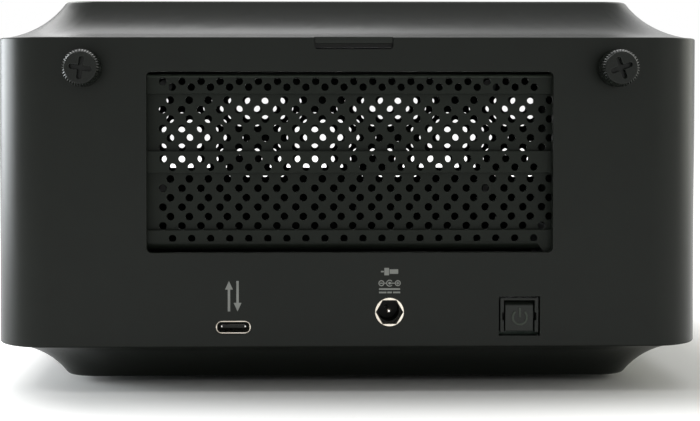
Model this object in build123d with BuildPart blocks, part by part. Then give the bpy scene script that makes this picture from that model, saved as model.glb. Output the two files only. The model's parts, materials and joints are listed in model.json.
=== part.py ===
"""External graphics card enclosure: a sleeve between a coved lid and a coved plinth, with its board inside.

Millimetres, +Z up, origin on the floor under the middle of the whole length, thumbscrews included. The
rear panel faces -Y. Planes are placed from the shell's middle, and a depth is measured from the rear
panel's outer face towards the front.
"""

import os
from math import acos, cos, degrees, radians, sin

from build123d import *

os.makedirs("parts", exist_ok=True)

# Shell
WIDTH = 183.0
DEPTH = 190.0
BAND_H = 79.4
CORNER_R = 14.5
WALL = 2.5
EDGE_R = 0.5
LAND = 1.0
REBATE = 1.2
SKIRT_H = 1.5
SKIRT_T = 1.5
SEAT_FIT = 0.15

# Coves of the lid and the plinth: an arc from the outer edge to a flat rim
COVE_H = 10.1
COVE_R = 22.8
COVE_START = 10.0
COVE_STEPS = 5
COVE_CORNER_R = 8.0
RIM_R = 1.2
COVER_WALL = 2.0

# Feet
FOOT_R = 6.0
FOOT_H = 1.5
FOOT_SEAT = 1.0
FOOT_EDGE = 0.4
FOOT_FIT = 0.1
FOOT_INSET_X = 36.0
FOOT_INSET_Y = 35.0

# Lid grip and thumbscrews
GRIP_X = 0.9
GRIP_W = 20.2
GRIP_H = 3.1
GRIP_CORNER = 0.9
LIP_H = 1.6
LIP_INSET = 0.2
LIP_FIT = 0.25
THUMB_INSET = 23.75
THUMB_DROP = 8.0
THUMB_R = 4.75
THUMB_L = 8.0
THUMB_EDGE = 0.5
THUMB_SHANK_R = 1.45
THUMB_BITE = 1.0
THUMB_FIT = 0.05
THUMB_GAP = 0.1
KNURLS = 30
KNURL_SIZE = 0.5
CROSS_L = 5.7
CROSS_W = 1.1
CROSS_DEPTH = 1.8
CROSS_TURNS = {"thumbscrew_left": -8.4, "thumbscrew_right": 20.0}
LUG_W = 12.0
LUG_T = 4.0
LUG_TAIL = 5.0
LUG_GAP = 0.3

# Rear window, slot bracket and slot covers
WINDOW_W = 104.0
WINDOW_H = 46.3
WINDOW_R = 1.3
WINDOW_RISE = 47.4
SLOT_PITCH = 20.32
SLOT_LAP = 1.0
SLOT_H = 14.8
SHEET = 1.0
BRACKET_LAP_X = 8.0
BRACKET_LAP_Z = 4.35
BRACKET_SCREW_EDGE_X = 3.5
BRACKET_SCREW_EDGE_Z = 2.9
SLIT_TOP = 0.6
SLIT_BOTTOM = 1.6
FLANGE_L = 3.0
FLANGE_R = 0.9
SEAT_H = 0.5
PAD_W = 4.6
COVER_LAP_X = 5.0
COVER_LAP_Z = 0.4
HOLE = 1.75
HOLE_PITCH_X = 4.905
HOLE_PITCH_Z = 2.44
HOLE_SHIFT = 1.94
HOLE_ROWS = 6
HOLE_COLUMNS = 21
HOLE_X = 1.84
HOLE_DROP = 0.35

# Front window and grille
FRONT_H = 31.0
FRONT_RISE = 49.8
FRONT_LAP_X = 2.5
FRONT_LAP_Z = 7.0
FRONT_HOLE = 2.2
FRONT_PITCH_X = 6.17
FRONT_PITCH_Z = 2.69
FRONT_SHIFT = 3.085
FRONT_ROWS = 11
FRONT_COLUMNS = 25
FRONT_X = -0.15
FRONT_SCREW_INSET = 17.0
FRONT_SCREW_LAP = 3.5
RAIL_H = 3.0
RAIL_DROP = 12.7

# Tray that carries the board, and the board
TRAY_INSET_X = 16.5
TRAY_INSET_Y = 17.5
TRAY_T = 1.2
TRAY_WALL_H = 22.0
TRAY_DROP = 3.1
BASE_SCREW_INSET_X = 11.0
BASE_SCREW_INSET_Y = 37.5
BASE_BOSS_R = 4.0
BAND_SCREW_INSET = 27.5
BAND_SCREW_RISE = 15.0
BAND_BOSS_R = 4.0
BOARD_RISE = 3.5
BOARD_T = 1.6
BOARD_GAP = 0.8
BOARD_W = 133.0
BOARD_L = 95.0
BOARD_DEPTH = 4.5
STANDOFF_R = 3.0
STANDOFF_INSET_X = 14.5
STANDOFF_INSET_Y = 20.0

# Screws that hold the pieces inside
SCREW_R = 1.2
SCREW_HEAD_R = 2.4
SCREW_HEAD_H = 1.6
SCREW_FIT = 0.1
SCREW_BITE = 1.6

# Openings and sockets stand this far off what sits in them
PORT_FIT = 0.1
SNUG = 0.05

# Data port
USB_X = -29.9
USB_W = 9.1
USB_H = 3.4
USB_SHEET = 0.4
USB_L = 8.0
USB_MOUTH = 0.2
USB_TONGUE_W = 6.7
USB_TONGUE_T = 0.7
USB_TONGUE_L = 4.6
USB_BACK = 1.6

# Power inlet
INLET_X = 10.1
INLET_RISE = 5.5
INLET_R = 3.7
INLET_HEX_R = 3.5
INLET_RING_L = 4.0
INLET_BORE_R = 2.8
INLET_MOUTH = 0.1
INLET_L = 11.0
INLET_BODY_W = 9.6
INLET_BACK = 4.0
INLET_PIN_R = 0.5
INLET_PIN_DEPTH = 2.5
INLET_PIN_ROOT = 3.0

# Power switch
SWITCH_X = 43.45
SWITCH_RISE = 4.65
SWITCH_W = 9.8
SWITCH_H = 8.85
SWITCH_GAP = 0.4
SWITCH_FOOT_GAP = 0.9
SWITCH_BAR = 0.95
SWITCH_LINTEL = 0.65
SWITCH_NOTCH_W = 0.45
SWITCH_NOTCH_H = 1.9
SWITCH_MOUTH = 0.1
SWITCH_L = 4.2
SWITCH_BODY_L = 6.0
BUTTON_FIT = 0.35
BUTTON_H = 7.55
BUTTON_T = 2.0
BUTTON_SLOPE_H = 0.95
BUTTON_SLOPE_T = 0.9
BUTTON_DEPTH = 0.4
BUTTON_TRAVEL = 1.5
STEM_R = 1.5
STEM_FIT = 0.3
STEM_GRIP = 1.2

# Riser and card slot
RISER_INSET = 5.0
RISER_T = 1.6
RISER_L = 98.0
RISER_H = 36.0
RISER_DEPTH = 8.0
SOCKET_W = 8.0
SOCKET_H = 7.0
SOCKET_L = 60.0
SOCKET_END = 2.0
SOCKET_FLOOR = 1.5
SOCKET_DEPTH = 27.0
CARD_SLOT_RISE = 35.0
CARD_SLOT_L = 89.0
CARD_SLOT_W = 11.2
CARD_SLOT_H = 7.5
CARD_SLOT_MOUTH = 1.9
CARD_SLOT_FLOOR = 3.0
CARD_SLOT_END = 2.0
CARD_SLOT_FIRST = 11.65
CARD_SLOT_KEY = 1.9
CARD_SLOT_DEPTH = 12.0

# What the board carries
CHIP_X = -18.0
CHIP_DEPTH = 48.0
CHIP_SIZE = 16.0
CHIP_T = 1.4
SINK_SIZE = 36.0
SINK_BASE = 3.0
SINK_H = 12.0
SINK_FINS = 7
SINK_FIN_T = 1.6
POWER_X = 26.0
COIL_SIZE = 10.0
COIL_H = 6.0
COIL_PITCH = 13.0
COIL_EDGE = 1.0
COIL_DEPTH = 36.0
COILS = 3
CAN_R = 4.0
CAN_H = 9.0
CAN_PITCH = 11.0
CAN_DEPTH = 52.0
CANS = 3
HEADER_X = 30.0
HEADER_DEPTH = 76.0
HEADER_W = 19.0
HEADER_L = 10.0
HEADER_H = 11.0
HEADER_WALL = 1.2
HEADER_FLOOR = 2.0

# Levels and faces worked out from the sizes above
REAR = -DEPTH / 2
SHELL_Y = (THUMB_GAP + THUMB_L) / 2
THUMB_X = WIDTH / 2 - THUMB_INSET
SLOT_W = WINDOW_W + 2 * SLOT_LAP
COVER_SCREW_X = SLOT_W / 2 + PAD_W / 2
BRACKET_W = WINDOW_W + 2 * BRACKET_LAP_X
BRACKET_H = WINDOW_H + 2 * BRACKET_LAP_Z
FACE_H = WINDOW_H - SLIT_TOP - SLIT_BOTTOM
FRONT_W = WIDTH - 2 * CORNER_R
TRAY_W = WIDTH - 2 * TRAY_INSET_X
TRAY_L = DEPTH - 2 * TRAY_INSET_Y
BOARD_LEFT = BOARD_GAP + TRAY_T - TRAY_W / 2
RISER_X = BOARD_LEFT + RISER_INSET
EDGE_INSET = LAND + SEAT_FIT
SKIRT_INSET = WALL + SEAT_FIT
COVE_END = degrees(acos(cos(radians(COVE_START)) - COVE_H / COVE_R))
PLINTH_Z = FOOT_H
BAND_Z = PLINTH_Z + COVE_H
LID_Z = BAND_Z + BAND_H
WINDOW_Z = BAND_Z + WINDOW_RISE
FACE_Z = WINDOW_Z - WINDOW_H / 2 + SLIT_BOTTOM
FRONT_Z = BAND_Z + FRONT_RISE
CARD_SLOT_Z = BAND_Z + CARD_SLOT_RISE
THUMB_Z = LID_Z - THUMB_DROP
LUG_DEPTH = WALL + LUG_GAP
BRACKET_DEPTH = WALL + SEAT_H
COVER_DEPTH = BRACKET_DEPTH + 2 * SHEET
GRILLE_DEPTH = DEPTH - WALL - SEAT_H - SHEET
BASE_SEAT_Z = PLINTH_Z + SCREW_HEAD_H + SCREW_FIT
TRAY_Z = BAND_Z - TRAY_DROP
TRAY_TOP = TRAY_Z + TRAY_T
BOARD_TOP = BAND_Z + BOARD_RISE
BOARD_Z = BOARD_TOP - BOARD_T
USB_Z = BOARD_TOP + USB_H / 2
INLET_Z = BOARD_TOP + INLET_RISE
SWITCH_Z = BOARD_TOP + SWITCH_RISE
SWITCH_TOP = SWITCH_Z + SWITCH_H / 2
SWITCH_MOUTH_W = SWITCH_W - 2 * SWITCH_BAR
BUTTON_TOP = SWITCH_TOP - SWITCH_LINTEL - BUTTON_FIT
BUTTON_Z = BUTTON_TOP - BUTTON_H / 2
SOCKET_TOP = BOARD_TOP + SOCKET_H
RISER_FACE = RISER_X + RISER_T / 2
PILOT_R = SCREW_R + SCREW_FIT

SIDES = (-1, 1)
THUMB_PLACES = [(side * THUMB_X, THUMB_Z) for side in SIDES]


def corners(half_x, half_y, middle=(0, 0)):
    """Four places round a middle."""
    return [(middle[0] + x * half_x, middle[1] + y * half_y) for x in SIDES for y in SIDES]


BRACKET_PLACES = corners(
    BRACKET_W / 2 - BRACKET_SCREW_EDGE_X, BRACKET_H / 2 - BRACKET_SCREW_EDGE_Z, (0, WINDOW_Z)
)
GRILLE_PLACES = corners(FRONT_W / 2 - FRONT_SCREW_INSET, FRONT_H / 2 + FRONT_SCREW_LAP, (0, FRONT_Z))
BASE_PLACES = corners(TRAY_W / 2 - BASE_SCREW_INSET_X, TRAY_L / 2 - BASE_SCREW_INSET_Y)
BAND_PLACES = [(side * (TRAY_L / 2 - BAND_SCREW_INSET), TRAY_TOP + BAND_SCREW_RISE) for side in SIDES]
BOARD_MIDDLE = (BOARD_LEFT + BOARD_W / 2, REAR + BOARD_DEPTH + BOARD_L / 2)
BOARD_PLACES = corners(BOARD_W / 2 - STANDOFF_INSET_X, BOARD_L / 2 - STANDOFF_INSET_Y, BOARD_MIDDLE)
FOOT_NAMES = ("foot_rear_left", "foot_front_left", "foot_rear_right", "foot_front_right")
FOOT_PLACES = dict(zip(FOOT_NAMES, corners(WIDTH / 2 - FOOT_INSET_X, DEPTH / 2 - FOOT_INSET_Y)))
THUMB_SIDES = {"thumbscrew_left": -1, "thumbscrew_right": 1}
SLOT_HEIGHTS = {
    "slot_cover_upper": WINDOW_Z + SLOT_PITCH / 2,
    "slot_cover_lower": WINDOW_Z - SLOT_PITCH / 2,
}


def across(depth, facing=-1):
    """Upright plane at a depth, facing the rear (its x is +X) or the front: its y is +Z."""
    return Plane(origin=(0, SHELL_Y + REAR + depth, 0), x_dir=(-facing, 0, 0), z_dir=(0, facing, 0))


def along(x, facing=1):
    """Upright plane at a place in the width, facing +X or -X: its y is +Z."""
    return Plane(origin=(x, SHELL_Y, 0), x_dir=(0, facing, 0), z_dir=(facing, 0, 0))


def level(z, facing=1):
    """Level plane at a height, facing up or down: its x is +X."""
    return Plane(origin=(0, SHELL_Y, z), x_dir=(1, 0, 0), z_dir=(0, 0, facing))


def outline(inset, radius=None, mode=Mode.ADD):
    """The shell's rounded plan, drawn in by an inset."""
    corner = CORNER_R - inset if radius is None else radius
    RectangleRounded(WIDTH - 2 * inset, DEPTH - 2 * inset, corner, mode=mode)


def cove(edge_z, way):
    """Coved form from its outer edge at a height to its flat rim, up for way 1 and down for way -1."""
    start = radians(COVE_START)
    edge_corner = CORNER_R - EDGE_INSET
    with BuildPart() as form:
        for step in range(COVE_STEPS + 1):
            share = step / COVE_STEPS
            slope = radians(COVE_START + (COVE_END - COVE_START) * share)
            inset = EDGE_INSET + COVE_R * (sin(slope) - sin(start))
            rise = COVE_R * (cos(start) - cos(slope))
            with BuildSketch(level(edge_z + way * rise)):
                outline(inset, edge_corner + (COVE_CORNER_R - edge_corner) * share)
        loft()
    return form.part


def seat_rings(edge_z, way):
    """Edge that lies in the sleeve's rebate and the skirt behind its wall, on the side away from the cove."""
    for inset, height in ((EDGE_INSET, REBATE), (SKIRT_INSET, REBATE + SKIRT_H)):
        with BuildSketch(level(edge_z)) as ring:
            outline(inset)
            outline(SKIRT_INSET + SKIRT_T, mode=Mode.SUBTRACT)
        extrude(ring.sketch, amount=-way * height)


def staggered(columns, rows, pitch_x, pitch_z, shift, middle):
    """Centres of a grid whose rows lie by turns right and left of the middle, a shift apart."""
    centres = []
    for row in range(rows):
        row_x = middle[0] + (shift / 2 if row % 2 == 0 else -shift / 2)
        for column in range(columns):
            x = row_x + (column - (columns - 1) / 2) * pitch_x
            z = middle[1] + ((rows - 1) / 2 - row) * pitch_z
            centres.append((x, z))
    return centres


def perforate(depth, size, centres):
    """Square holes set on their corners, through a sheet at a depth."""
    with BuildSketch(across(depth)) as holes:
        with Locations(*centres):
            Rectangle(size, size, rotation=45)
    extrude(holes.sketch, amount=-SHEET, mode=Mode.SUBTRACT)


def discs(plane, places, radius, height, mode=Mode.ADD):
    """Round bosses or holes on a plane, one at each place, by a height along the plane's normal."""
    with BuildSketch(plane) as circles:
        with Locations(*places):
            Circle(radius)
    extrude(circles.sketch, amount=height, mode=mode)


def screws(plane, places, shank):
    """Screws with their heads standing on a plane and their shanks behind it."""
    discs(plane, places, SCREW_HEAD_R, SCREW_HEAD_H)
    discs(plane, places, SCREW_R, -shank)


pieces = {}

# Sleeve: four walls round the card bay, with the rear panel's openings
with BuildPart() as outer_band:
    with BuildSketch(level(BAND_Z)):
        outline(0)
    extrude(amount=BAND_H)
    rims = outer_band.edges().group_by(Axis.Z)
    fillet(rims[0] + rims[-1], EDGE_R)
    with BuildSketch(level(BAND_Z)):
        outline(WALL)
    extrude(amount=BAND_H, mode=Mode.SUBTRACT)
    for edge_z, way in ((BAND_Z, 1), (LID_Z, -1)):
        with BuildSketch(level(edge_z)):
            outline(LAND)
        extrude(amount=way * REBATE, mode=Mode.SUBTRACT)
    # Seats inside, for the bracket at the rear, the grille at the front and the tray at the sides
    discs(across(BRACKET_DEPTH), BRACKET_PLACES, SCREW_HEAD_R, SEAT_H + WALL / 2)
    discs(across(BRACKET_DEPTH), BRACKET_PLACES, PILOT_R, SCREW_BITE + SCREW_FIT, Mode.SUBTRACT)
    discs(across(GRILLE_DEPTH + SHEET), GRILLE_PLACES, SCREW_HEAD_R, -SEAT_H - WALL / 2)
    discs(across(GRILLE_DEPTH + SHEET), GRILLE_PLACES, PILOT_R, -SCREW_BITE - SCREW_FIT, Mode.SUBTRACT)
    for side in SIDES:
        boss_face = along(side * TRAY_W / 2, side)
        places = [(side * y, z) for y, z in BAND_PLACES]
        discs(boss_face, places, BAND_BOSS_R, (WIDTH - TRAY_W - WALL) / 2)
        discs(boss_face, places, PILOT_R, SCREW_BITE + SCREW_FIT, Mode.SUBTRACT)
    # Rear panel: vent window, grip notch and the openings for the screws, the ports and the switch
    with BuildSketch(across(0)):
        with Locations((0, WINDOW_Z)):
            RectangleRounded(WINDOW_W, WINDOW_H, WINDOW_R)
        with Locations((GRIP_X, LID_Z)):
            RectangleRounded(GRIP_W, 2 * GRIP_H, GRIP_CORNER)
        with Locations(*THUMB_PLACES):
            Circle(THUMB_SHANK_R + LUG_GAP)
        with Locations((USB_X, USB_Z)):
            SlotOverall(USB_W + 2 * PORT_FIT, USB_H + 2 * PORT_FIT)
        with Locations((INLET_X, INLET_Z)):
            Circle(INLET_R + PORT_FIT)
        with Locations((SWITCH_X, SWITCH_TOP + SWITCH_GAP)):
            Rectangle(
                SWITCH_W + 2 * SWITCH_GAP,
                SWITCH_GAP + SWITCH_H + SWITCH_FOOT_GAP,
                align=(Align.CENTER, Align.MAX),
            )
    extrude(amount=-WALL, mode=Mode.SUBTRACT)
    with BuildSketch(across(DEPTH)):
        with Locations((0, FRONT_Z)):
            RectangleRounded(FRONT_W, FRONT_H, WINDOW_R)
    extrude(amount=WALL, mode=Mode.SUBTRACT)
pieces["outer_band"] = outer_band

# Lid: coved shell with a skirt inside the sleeve, a grip lip and two lugs for the thumbscrews
with BuildPart() as top_lid:
    add(cove(LID_Z, 1))
    fillet(top_lid.faces().sort_by(Axis.Z)[-1].edges(), RIM_R)
    add(cove(LID_Z - COVER_WALL, 1), mode=Mode.SUBTRACT)
    seat_rings(LID_Z, 1)
    with BuildSketch(across(LIP_INSET)):
        with Locations((GRIP_X, LID_Z)):
            Rectangle(GRIP_W - 2 * LIP_FIT, LIP_H, align=(Align.CENTER, Align.MAX))
    extrude(amount=LIP_INSET - SKIRT_INSET - SKIRT_T)
    with BuildSketch(across(LUG_DEPTH)):
        with Locations(*[(x, LID_Z) for x, _ in THUMB_PLACES]):
            Rectangle(LUG_W, THUMB_DROP + LUG_TAIL, align=(Align.CENTER, Align.MAX))
    extrude(amount=-LUG_T)
    discs(across(LUG_DEPTH), THUMB_PLACES, THUMB_SHANK_R + THUMB_FIT, -LUG_T, Mode.SUBTRACT)
pieces["top_lid"] = top_lid

# Plinth: the lid's cove turned down, with a floor, bosses for the tray and seats for the feet
with BuildPart() as base_plinth:
    add(cove(BAND_Z, -1))
    fillet(base_plinth.faces().sort_by(Axis.Z)[0].edges(), RIM_R)
    add(cove(BAND_Z + COVER_WALL, -1), mode=Mode.SUBTRACT)
    seat_rings(BAND_Z, -1)
    discs(level(PLINTH_Z + COVER_WALL / 2), BASE_PLACES, BASE_BOSS_R, TRAY_Z - PLINTH_Z - COVER_WALL / 2)
    discs(level(PLINTH_Z), BASE_PLACES, PILOT_R, TRAY_Z - PLINTH_Z, Mode.SUBTRACT)
    discs(level(PLINTH_Z), BASE_PLACES, SCREW_HEAD_R + SCREW_FIT, BASE_SEAT_Z - PLINTH_Z, Mode.SUBTRACT)
    discs(level(PLINTH_Z), FOOT_PLACES.values(), FOOT_R + FOOT_FIT, FOOT_SEAT, Mode.SUBTRACT)
pieces["base_plinth"] = base_plinth

with BuildPart() as base_screws:
    screws(level(BASE_SEAT_Z, -1), BASE_PLACES, TRAY_TOP + SCREW_HEAD_H - BASE_SEAT_Z)
pieces["base_screws"] = base_screws

for node, place in FOOT_PLACES.items():
    with BuildPart() as foot:
        discs(level(0), [place], FOOT_R, FOOT_H + FOOT_SEAT)
        chamfer(foot.edges().group_by(Axis.Z)[0], FOOT_EDGE)
    pieces[node] = foot

# Thumbscrews: knurled heads with a cross recess, through the rear wall into the lid's lugs
for node, side in THUMB_SIDES.items():
    place = (side * THUMB_X, THUMB_Z)
    with BuildPart() as thumbscrew:
        discs(across(-THUMB_GAP), [place], THUMB_R, THUMB_L)
        chamfer(thumbscrew.edges().group_by(Axis.Y)[0], THUMB_EDGE)
        with BuildSketch(across(-THUMB_GAP)):
            with Locations(place):
                with PolarLocations(THUMB_R, KNURLS):
                    Rectangle(KNURL_SIZE, KNURL_SIZE, rotation=45)
        extrude(amount=THUMB_L, mode=Mode.SUBTRACT)
        with BuildSketch(across(-THUMB_GAP - THUMB_L)):
            with Locations(place):
                for quarter in (0, 90):
                    Rectangle(CROSS_L, CROSS_W, rotation=CROSS_TURNS[node] + quarter)
        extrude(amount=-CROSS_DEPTH, mode=Mode.SUBTRACT)
        discs(across(-THUMB_GAP), [place], THUMB_SHANK_R, -THUMB_GAP - LUG_DEPTH - LUG_T - THUMB_BITE)
    pieces[node] = thumbscrew

# Slot bracket: a sheet with two card slots on four seats behind the window. Its middle stops short of the
# window's edges, and is turned in there.
slot_places = [(0, z) for z in SLOT_HEIGHTS.values()]
cover_places = [(x * COVER_SCREW_X, z) for x in SIDES for z in SLOT_HEIGHTS.values()]
with BuildPart() as rear_bracket:
    with BuildSketch(across(BRACKET_DEPTH)):
        with Locations((0, WINDOW_Z)):
            Rectangle(BRACKET_W, BRACKET_H)
            Rectangle(SLOT_W, BRACKET_H, mode=Mode.SUBTRACT)
        with Locations((0, FACE_Z)):
            Rectangle(SLOT_W, FACE_H, align=(Align.CENTER, Align.MIN))
        with Locations(*slot_places):
            Rectangle(SLOT_W, SLOT_H, mode=Mode.SUBTRACT)
    extrude(amount=-SHEET)
    with BuildSketch(across(BRACKET_DEPTH)):
        with Locations((0, FACE_Z + SHEET / 2), (0, FACE_Z + FACE_H - SHEET / 2)):
            Rectangle(SLOT_W, SHEET)
    extrude(amount=-FLANGE_L)
    level_edges = rear_bracket.edges().filter_by(Axis.X).group_by(Axis.Z)
    fillet([level_edges[row].sort_by(Axis.Y)[0] for row in (1, -2)], FLANGE_R)
    with BuildSketch(across(BRACKET_DEPTH + SHEET)):
        with Locations(*slot_places):
            Rectangle(SLOT_W + 2 * PAD_W, SLOT_H)
            Rectangle(SLOT_W, SLOT_H, mode=Mode.SUBTRACT)
    extrude(amount=-SHEET)
    discs(across(BRACKET_DEPTH), BRACKET_PLACES, PILOT_R, -SHEET, Mode.SUBTRACT)
    discs(across(BRACKET_DEPTH), cover_places, PILOT_R, -2 * SHEET, Mode.SUBTRACT)
pieces["rear_bracket"] = rear_bracket

with BuildPart() as bracket_screws:
    places = [(-x, z) for x, z in BRACKET_PLACES]
    screws(across(BRACKET_DEPTH + SHEET, 1), places, SHEET + SCREW_BITE)
pieces["bracket_screws"] = bracket_screws

# Vented covers that close the two card slots from inside
for node, height in SLOT_HEIGHTS.items():
    with BuildPart() as slot_cover:
        with BuildSketch(across(COVER_DEPTH)):
            with Locations((0, height)):
                Rectangle(SLOT_W + 2 * COVER_LAP_X, SLOT_H + 2 * COVER_LAP_Z)
        extrude(amount=-SHEET)
        middle = (HOLE_X, height - HOLE_DROP)
        grid = staggered(HOLE_COLUMNS, HOLE_ROWS, HOLE_PITCH_X, HOLE_PITCH_Z, HOLE_SHIFT, middle)
        perforate(COVER_DEPTH, HOLE, grid)
        ends = [(side * COVER_SCREW_X, height) for side in SIDES]
        discs(across(COVER_DEPTH), ends, PILOT_R, -SHEET, Mode.SUBTRACT)
    pieces[node] = slot_cover

with BuildPart() as slot_cover_screws:
    screws(across(COVER_DEPTH + SHEET, 1), [(-x, z) for x, z in cover_places], 2 * SHEET)
pieces["slot_cover_screws"] = slot_cover_screws

# Front grille: a perforated sheet on four seats behind the front window, stiffened by a rail inside
with BuildPart() as front_grille:
    with BuildSketch(across(GRILLE_DEPTH)):
        with Locations((0, FRONT_Z)):
            Rectangle(FRONT_W + 2 * FRONT_LAP_X, FRONT_H + 2 * FRONT_LAP_Z)
    extrude(amount=-SHEET)
    middle = (FRONT_X, FRONT_Z)
    grid = staggered(FRONT_COLUMNS, FRONT_ROWS, FRONT_PITCH_X, FRONT_PITCH_Z, FRONT_SHIFT, middle)
    perforate(GRILLE_DEPTH, FRONT_HOLE, grid)
    with BuildSketch(across(GRILLE_DEPTH)):
        with Locations((0, FRONT_Z - RAIL_DROP)):
            Rectangle(FRONT_W, RAIL_H)
    extrude(amount=SHEET)
    discs(across(GRILLE_DEPTH), GRILLE_PLACES, PILOT_R, -SHEET, Mode.SUBTRACT)
pieces["front_grille"] = front_grille

with BuildPart() as grille_screws:
    screws(across(GRILLE_DEPTH), GRILLE_PLACES, SHEET + SCREW_BITE)
pieces["grille_screws"] = grille_screws

# Tray: a folded sheet on the plinth's bosses, screwed to the sleeve's sides
with BuildPart() as chassis_tray:
    with BuildSketch(across((DEPTH - TRAY_L) / 2)):
        with Locations((0, TRAY_Z)):
            Rectangle(TRAY_W, TRAY_T + TRAY_WALL_H, align=(Align.CENTER, Align.MIN))
        with Locations((0, TRAY_TOP)):
            Rectangle(TRAY_W - 2 * TRAY_T, TRAY_WALL_H, align=(Align.CENTER, Align.MIN), mode=Mode.SUBTRACT)
    extrude(amount=-TRAY_L)
    fillet(chassis_tray.edges().filter_by(Axis.Y).group_by(Axis.Z)[0], TRAY_T)
    discs(level(TRAY_Z), BASE_PLACES, PILOT_R, TRAY_T, Mode.SUBTRACT)
    for side in SIDES:
        places = [(side * y, z) for y, z in BAND_PLACES]
        discs(along(side * TRAY_W / 2, side), places, PILOT_R, -TRAY_T, Mode.SUBTRACT)
pieces["chassis_tray"] = chassis_tray

with BuildPart() as band_screws:
    for side in SIDES:
        places = [(-side * y, z) for y, z in BAND_PLACES]
        screws(along(side * (TRAY_W / 2 - TRAY_T), -side), places, TRAY_T + SCREW_BITE)
pieces["band_screws"] = band_screws

# Main board on its standoffs
with BuildPart() as board_standoffs:
    discs(level(TRAY_TOP), BOARD_PLACES, STANDOFF_R, BOARD_Z - TRAY_TOP)
    discs(level(TRAY_TOP), BOARD_PLACES, PILOT_R, BOARD_Z - TRAY_TOP, Mode.SUBTRACT)
pieces["board_standoffs"] = board_standoffs

with BuildPart() as main_board:
    with BuildSketch(level(BOARD_Z)):
        with Locations((BOARD_LEFT, REAR + BOARD_DEPTH)):
            Rectangle(BOARD_W, BOARD_L, align=(Align.MIN, Align.MIN))
    extrude(amount=BOARD_T)
    discs(level(BOARD_Z), BOARD_PLACES, PILOT_R, BOARD_T, Mode.SUBTRACT)
pieces["main_board"] = main_board

with BuildPart() as board_screws:
    screws(level(BOARD_TOP), BOARD_PLACES, BOARD_T + SCREW_BITE)
pieces["board_screws"] = board_screws

# Data port: a steel shell round a moulded tongue
with BuildPart() as usb_c_shell:
    with BuildSketch(across(USB_MOUTH)):
        with Locations((USB_X, USB_Z)):
            SlotOverall(USB_W, USB_H)
            SlotOverall(USB_W - 2 * USB_SHEET, USB_H - 2 * USB_SHEET, mode=Mode.SUBTRACT)
    extrude(amount=-USB_L)
pieces["usb_c_shell"] = usb_c_shell

with BuildPart() as usb_c_tongue:
    with BuildSketch(across(USB_MOUTH + USB_L)):
        with Locations((USB_X, USB_Z)):
            SlotOverall(USB_W - 2 * USB_SHEET - 2 * SNUG, USB_H - 2 * USB_SHEET - 2 * SNUG)
    extrude(amount=USB_BACK)
    with BuildSketch(across(USB_MOUTH + USB_L)):
        with Locations((USB_X, USB_Z)):
            Rectangle(USB_TONGUE_W, USB_TONGUE_T)
    extrude(amount=USB_BACK + USB_TONGUE_L)
pieces["usb_c_tongue"] = usb_c_tongue

# Power inlet: a moulded body on the board, a metal ring with a six-sided mouth and a centre pin
inlet_place = [(INLET_X, INLET_Z)]
with BuildPart() as inlet_body:
    with BuildSketch(across(LUG_DEPTH)):
        with Locations((INLET_X, BOARD_TOP)):
            Rectangle(INLET_BODY_W, 2 * INLET_RISE, align=(Align.CENTER, Align.MIN))
    extrude(amount=LUG_DEPTH - INLET_L - INLET_BACK)
    discs(across(LUG_DEPTH), inlet_place, INLET_R + SNUG, LUG_DEPTH - INLET_RING_L, Mode.SUBTRACT)
    discs(across(LUG_DEPTH), inlet_place, INLET_BORE_R, LUG_DEPTH - INLET_L, Mode.SUBTRACT)
    discs(across(INLET_L), inlet_place, INLET_PIN_R + SNUG, -INLET_PIN_ROOT, Mode.SUBTRACT)
pieces["inlet_body"] = inlet_body

with BuildPart() as inlet_sleeve:
    with BuildSketch(across(INLET_MOUTH)):
        with Locations(*inlet_place):
            Circle(INLET_R)
            RegularPolygon(INLET_HEX_R, 6, mode=Mode.SUBTRACT)
    extrude(amount=INLET_MOUTH - INLET_RING_L)
pieces["inlet_sleeve"] = inlet_sleeve

with BuildPart() as inlet_pin:
    discs(across(INLET_PIN_DEPTH), inlet_place, INLET_PIN_R, INLET_PIN_DEPTH - INLET_L - INLET_PIN_ROOT)
    chamfer(inlet_pin.edges().group_by(Axis.Y)[0], INLET_PIN_R / 2)
pieces["inlet_pin"] = inlet_pin

# Power switch: a notched frame open at its foot, on a body on the board, and the sprung button
with BuildPart() as switch_frame:
    with BuildSketch(across(SWITCH_MOUTH)):
        with Locations((SWITCH_X, SWITCH_TOP)):
            Rectangle(SWITCH_W, SWITCH_H, align=(Align.CENTER, Align.MAX))
        with Locations((SWITCH_X, SWITCH_TOP - SWITCH_LINTEL)):
            Rectangle(SWITCH_MOUTH_W, SWITCH_H, align=(Align.CENTER, Align.MAX), mode=Mode.SUBTRACT)
        with Locations((SWITCH_X, BUTTON_Z)):
            Rectangle(SWITCH_MOUTH_W + 2 * SWITCH_NOTCH_W, SWITCH_NOTCH_H, mode=Mode.SUBTRACT)
    extrude(amount=SWITCH_MOUTH - SWITCH_L)
pieces["switch_frame"] = switch_frame

stem_place = [(SWITCH_X, BUTTON_Z)]
with BuildPart() as switch_body:
    with BuildSketch(across(SWITCH_L)):
        with Locations((SWITCH_X, BOARD_TOP)):
            Rectangle(SWITCH_W, SWITCH_RISE + SWITCH_H / 2, align=(Align.CENTER, Align.MIN))
    extrude(amount=-SWITCH_BODY_L)
    stem_reach = STEM_GRIP + BUTTON_TRAVEL + STEM_FIT
    discs(across(SWITCH_L), stem_place, STEM_R + STEM_FIT, -stem_reach, Mode.SUBTRACT)
pieces["switch_body"] = switch_body

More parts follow.
